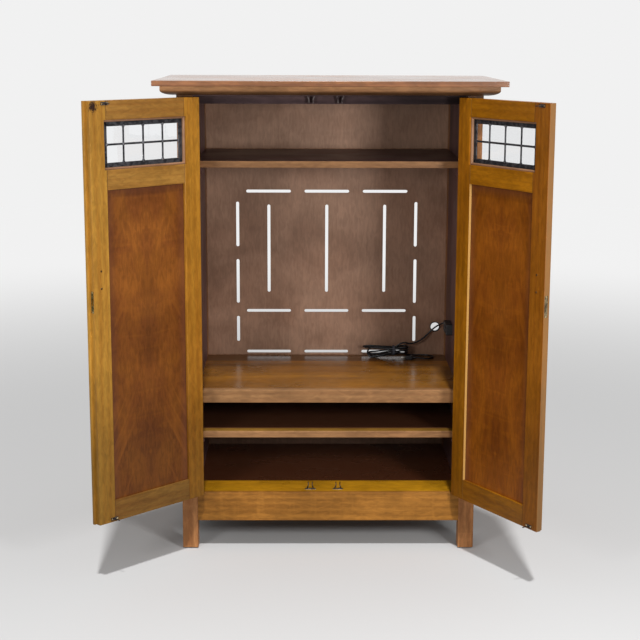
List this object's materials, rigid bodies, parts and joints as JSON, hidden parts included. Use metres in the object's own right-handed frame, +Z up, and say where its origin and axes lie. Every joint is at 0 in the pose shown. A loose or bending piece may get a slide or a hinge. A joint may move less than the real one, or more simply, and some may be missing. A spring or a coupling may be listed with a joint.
{
  "type": "tv armoire",
  "caption": "Free-standing wooden TV cabinet on square posts with leaded-glass panel doors, shelves, a slotted back and a power box.",
  "frame": {"origin": "on the floor at the centre of the case's footprint over the four posts", "axes": "+Z up, the front faces -Y, +X to the right of someone facing the front"},
  "size_m": [1.5284, 1.0948, 1.702],
  "materials": {
    "aged_brass": "aged",
    "aged_bronze": "aged",
    "black_plastic": "matt",
    "black_rubber": "matt",
    "brass_screws": "satin",
    "bright_glide": "polished",
    "case_wood": "satin lacquer",
    "clear_glass": "clear",
    "dark_steel": "dull",
    "dark_veneer": "satin lacquer",
    "door_panel_veneer": "satin lacquer",
    "door_wood": "satin lacquer",
    "lead_came": "dull"
  },
  "bodies": {
    "case": {"back_panel": "dark_veneer", "cable_hole_ring": "black_plastic", "case_hinge_leaves": "aged_bronze", "case_screws": "brass_screws", "ceiling_board": "dark_veneer", "cornice_moulding": "case_wood", "deck_nosing": "case_wood", "door_catches": "dark_steel", "floor_board": "case_wood", "foot_glides": "bright_glide", "front_apron": "case_wood", "front_left_post": "case_wood", "front_right_post": "case_wood", "head_rails": "case_wood", "hinge_pins": "aged_bronze", "left_side_panel": "case_wood", "left_side_rails": "case_wood", "lower_shelf": "case_wood", "power_box": "black_plastic", "power_box_strain_relief": "black_rubber", "power_lead": "black_rubber", "power_lead_hank": "black_rubber", "power_lead_plug": "black_plastic", "power_lead_tie": "black_rubber", "rear_left_post": "case_wood", "rear_rails": "case_wood", "rear_right_post": "case_wood", "right_side_panel": "case_wood", "right_side_rails": "case_wood", "shelf_cleats": "case_wood", "side_liners": "dark_veneer", "top_shelf": "case_wood", "top_slab": "case_wood", "tv_deck": "case_wood"},
    "left_door": {"left_door_catch_strikes": "dark_steel", "left_door_glass_panes": "clear_glass", "left_door_glass_stops": "door_wood", "left_door_hinge_leaves": "aged_bronze", "left_door_hinge_stile": "door_wood", "left_door_knob": "aged_bronze", "left_door_lead_lattice": "lead_came", "left_door_lock_keeper": "aged_brass", "left_door_meeting_stile": "door_wood", "left_door_panel": "door_panel_veneer", "left_door_rails": "door_wood", "left_door_screws": "brass_screws"},
    "right_door": {"right_door_catch_strikes": "dark_steel", "right_door_escutcheon": "aged_bronze", "right_door_glass_panes": "clear_glass", "right_door_glass_stops": "door_wood", "right_door_hinge_leaves": "aged_bronze", "right_door_hinge_stile": "door_wood", "right_door_knob": "aged_bronze", "right_door_lead_lattice": "lead_came", "right_door_lock": "aged_brass", "right_door_meeting_stile": "door_wood", "right_door_panel": "door_panel_veneer", "right_door_rails": "door_wood", "right_door_screws": "brass_screws"},
    "deadbolt": {"right_door_deadbolt": "aged_brass"}
  },
  "joints": [
    {"name": "left_door_hinge", "type": "hinge", "parent": "case", "child": "left_door", "pos_m": [-0.4765, -0.335, 0.93], "axis": [0, 0, -1], "range_deg": [-134.5, 40.5]},
    {"name": "right_door_hinge", "type": "hinge", "parent": "case", "child": "right_door", "pos_m": [0.4765, -0.335, 0.93], "axis": [0, 0, 1], "range_deg": [-121, 54]},
    {"name": "deadbolt_slide", "type": "slide", "parent": "right_door", "child": "deadbolt", "axis": [0.515, -0.8572, 0], "range_m": [0, 0.009]}
  ]
}
